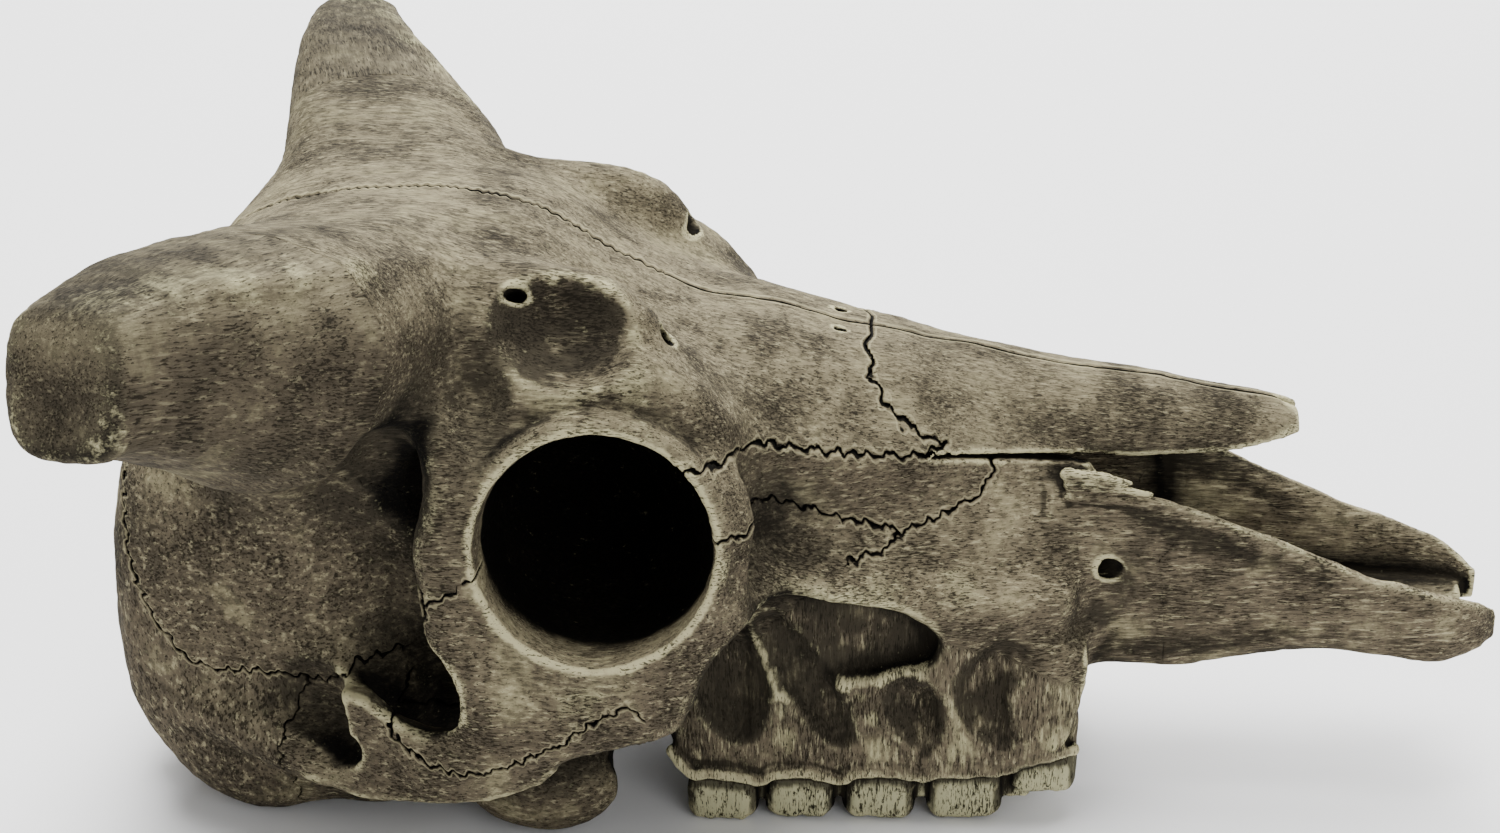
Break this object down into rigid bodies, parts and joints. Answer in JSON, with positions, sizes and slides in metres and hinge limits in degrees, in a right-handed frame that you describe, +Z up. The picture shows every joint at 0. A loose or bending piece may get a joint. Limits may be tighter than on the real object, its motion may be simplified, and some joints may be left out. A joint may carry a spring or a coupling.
{
  "type": "horned cattle skull replica",
  "caption": "Life-size cast display replica of a horned cattle skull without its lower jaw, with blunt horn stumps, round eye sockets and cheek teeth, resting on its base.",
  "frame": {"origin": "on the floor under the middle of the skull's box", "axes": "+X forward to the muzzle, +Y to the animal's left, +Z up from the surface it rests on"},
  "size_m": [0.4178, 0.3492, 0.2056],
  "materials": {
    "weathered_bone_paint": "matte grey-brown painted cast resin, dark wash in the hollows and pale rubbed edges",
    "horn_stump_paint": "matte tan-grey painted cast resin with fine lengthwise fibres, darker on the cut end",
    "jaw_and_tooth_paint": "matte grey-brown painted cast resin with pale greenish-cream teeth streaked with black"
  },
  "bodies": {
    "root": {"braincase": "weathered_bone_paint", "frontal_right": "weathered_bone_paint", "frontal_left": "weathered_bone_paint", "horn_right": "horn_stump_paint", "horn_left": "horn_stump_paint", "lacrimal_right": "weathered_bone_paint", "lacrimal_left": "weathered_bone_paint", "cheekbone_right": "weathered_bone_paint", "cheekbone_left": "weathered_bone_paint", "upper_jaw_right": "jaw_and_tooth_paint", "upper_jaw_left": "jaw_and_tooth_paint", "nasal_right": "weathered_bone_paint", "nasal_left": "weathered_bone_paint", "muzzle_bone_right": "weathered_bone_paint", "muzzle_bone_left": "weathered_bone_paint"}
  },
  "joints": []
}
